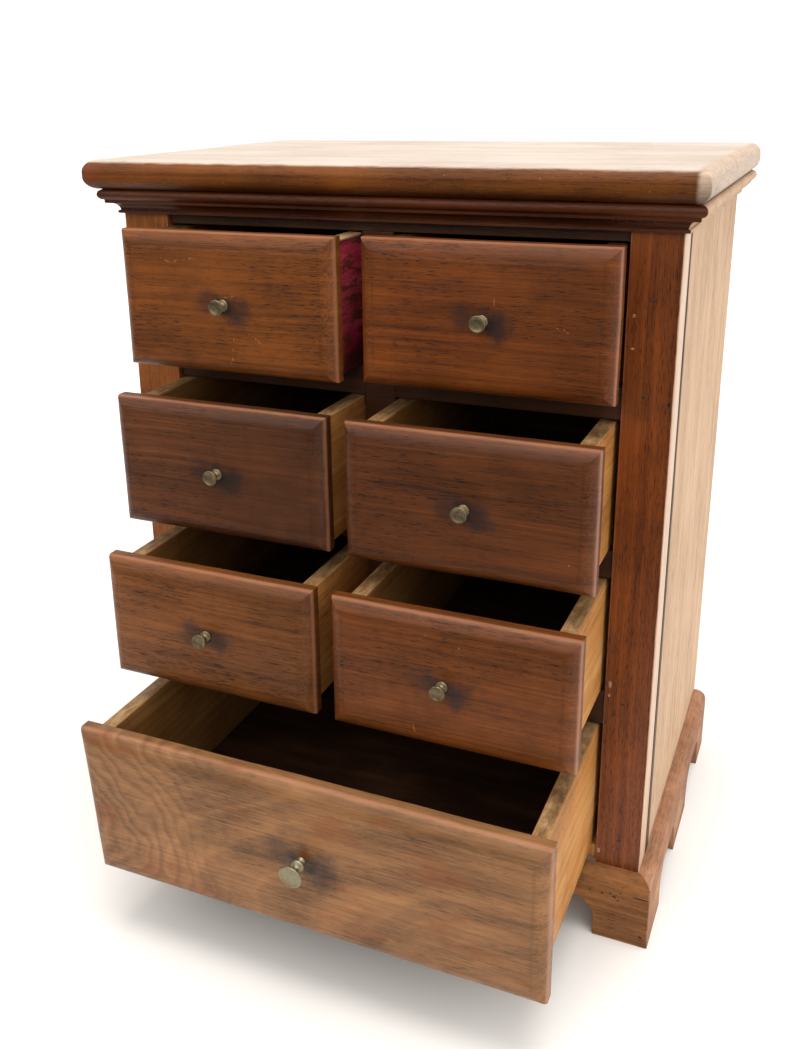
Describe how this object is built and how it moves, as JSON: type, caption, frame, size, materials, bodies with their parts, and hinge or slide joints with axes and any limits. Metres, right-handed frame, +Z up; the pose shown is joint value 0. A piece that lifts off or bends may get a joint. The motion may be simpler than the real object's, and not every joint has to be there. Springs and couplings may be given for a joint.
{
  "type": "miniature chest of drawers",
  "caption": "Miniature wooden chest with paired small drawers above a wide deep one, lipped moulded fronts, small turned knobs, a cornice under a rounded top and bracket feet.",
  "frame": {"origin": "on the floor, at the middle of the bounding box with the drawers standing as drawn; 43 mm behind the faces of the front stiles", "axes": "+Z up; -Y out of the front, the way the drawers open; +X to the viewer's right when facing the front"},
  "size_m": [0.349, 0.3479, 0.44],
  "materials": {
    "top_board": "satin, worn",
    "cornice_front": "satin, worn",
    "cornice_left": "satin, worn",
    "cornice_right": "satin, worn",
    "stile_left": "satin, worn",
    "stile_right": "satin, worn",
    "side_left": "satin, worn",
    "side_right": "satin, worn",
    "inner_pine": "raw",
    "frame_inner": "satin, worn",
    "plinth_front": "satin, worn",
    "plinth_left": "satin, worn",
    "plinth_right": "satin, worn",
    "drawer_1_front": "satin, worn",
    "drawer_side": "raw, worn",
    "drawer_side_stained": "stained red",
    "drawer_inside": "raw, dusty",
    "knob_small": "aged, tarnished",
    "drawer_2_front": "satin, worn",
    "drawer_3_front": "satin, worn",
    "drawer_4_front": "satin, worn",
    "drawer_5_front": "satin, worn",
    "drawer_6_front": "satin, worn",
    "drawer_7_front": "satin, worn",
    "knob_large": "aged, green patina"
  },
  "bodies": {
    "case": {"top_board": "top_board", "cornice_front": "cornice_front", "cornice_left": "cornice_left", "cornice_right": "cornice_right", "stile_left": "stile_left", "stile_right": "stile_right", "side_left": "side_left", "side_right": "side_right", "back_panel": "inner_pine", "bottom_board": "inner_pine", "top_rail": "frame_inner", "centre_post": "frame_inner", "drawer_dividers": "frame_inner", "centre_partition": "inner_pine", "drawer_runners": "inner_pine", "plinth_front": "plinth_front", "plinth_left": "plinth_left", "plinth_right": "plinth_right"},
    "drawer_1": {"drawer_1_front": "drawer_1_front", "drawer_1_side_left": "drawer_side", "drawer_1_side_right": "drawer_side_stained", "drawer_1_back": "drawer_inside", "drawer_1_bottom": "drawer_inside", "drawer_1_knob": "knob_small"},
    "drawer_2": {"drawer_2_front": "drawer_2_front", "drawer_2_side_left": "drawer_side", "drawer_2_side_right": "drawer_side", "drawer_2_back": "drawer_inside", "drawer_2_bottom": "drawer_inside", "drawer_2_knob": "knob_small"},
    "drawer_3": {"drawer_3_front": "drawer_3_front", "drawer_3_side_left": "drawer_side", "drawer_3_side_right": "drawer_side", "drawer_3_back": "drawer_inside", "drawer_3_bottom": "drawer_inside", "drawer_3_knob": "knob_small"},
    "drawer_4": {"drawer_4_front": "drawer_4_front", "drawer_4_side_left": "drawer_side", "drawer_4_side_right": "drawer_side", "drawer_4_back": "drawer_inside", "drawer_4_bottom": "drawer_inside", "drawer_4_knob": "knob_small"},
    "drawer_5": {"drawer_5_front": "drawer_5_front", "drawer_5_side_left": "drawer_side", "drawer_5_side_right": "drawer_side", "drawer_5_back": "drawer_inside", "drawer_5_bottom": "drawer_inside", "drawer_5_knob": "knob_small"},
    "drawer_6": {"drawer_6_front": "drawer_6_front", "drawer_6_side_left": "drawer_side", "drawer_6_side_right": "drawer_side", "drawer_6_back": "drawer_inside", "drawer_6_bottom": "drawer_inside", "drawer_6_knob": "knob_small"},
    "drawer_7": {"drawer_7_front": "drawer_7_front", "drawer_7_side_left": "drawer_side", "drawer_7_side_right": "drawer_side", "drawer_7_back": "drawer_inside", "drawer_7_bottom": "drawer_inside", "drawer_7_knob": "knob_large"}
  },
  "joints": [
    {"name": "drawer_1_slide", "type": "slide", "parent": "case", "child": "drawer_1", "axis": [0, -1, 0], "range_m": [-0.0274, 0.1226]},
    {"name": "drawer_2_slide", "type": "slide", "parent": "case", "child": "drawer_2", "axis": [0, -1, 0], "range_m": [-0.0205, 0.1295]},
    {"name": "drawer_3_slide", "type": "slide", "parent": "case", "child": "drawer_3", "axis": [0, -1, 0], "range_m": [-0.044, 0.106]},
    {"name": "drawer_4_slide", "type": "slide", "parent": "case", "child": "drawer_4", "axis": [0, -1, 0], "range_m": [-0.045, 0.105]},
    {"name": "drawer_5_slide", "type": "slide", "parent": "case", "child": "drawer_5", "axis": [0, -1, 0], "range_m": [-0.0656, 0.0844]},
    {"name": "drawer_6_slide", "type": "slide", "parent": "case", "child": "drawer_6", "axis": [0, -1, 0], "range_m": [-0.0664, 0.0836]},
    {"name": "drawer_7_slide", "type": "slide", "parent": "case", "child": "drawer_7", "axis": [0, -1, 0], "range_m": [-0.105, 0.045]}
  ]
}
